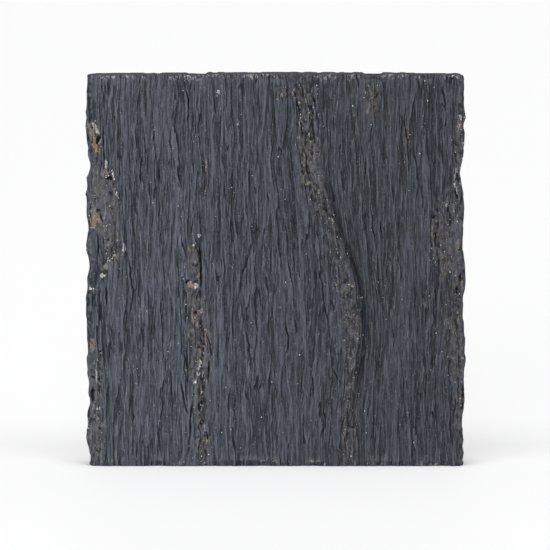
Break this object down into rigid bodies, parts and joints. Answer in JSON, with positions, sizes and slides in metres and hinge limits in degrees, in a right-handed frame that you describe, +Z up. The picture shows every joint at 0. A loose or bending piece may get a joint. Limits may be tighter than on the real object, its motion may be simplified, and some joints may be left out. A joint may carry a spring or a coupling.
{
  "type": "slate slab",
  "caption": "Upright slab of riven slate with a sawn base and top, hand-broken sides, a slanting raised seam and an open gash.",
  "frame": {"origin": "on the sawn base, under the middle of the slab's box", "axes": "+Z up along the grain, +X across the slab to the right as its front is seen, -Y out of the front"},
  "size_m": [0.2904, 0.04, 0.3],
  "materials": {
    "slate": "matte"
  },
  "bodies": {
    "root": {"slate_slab": "slate"}
  },
  "joints": []
}
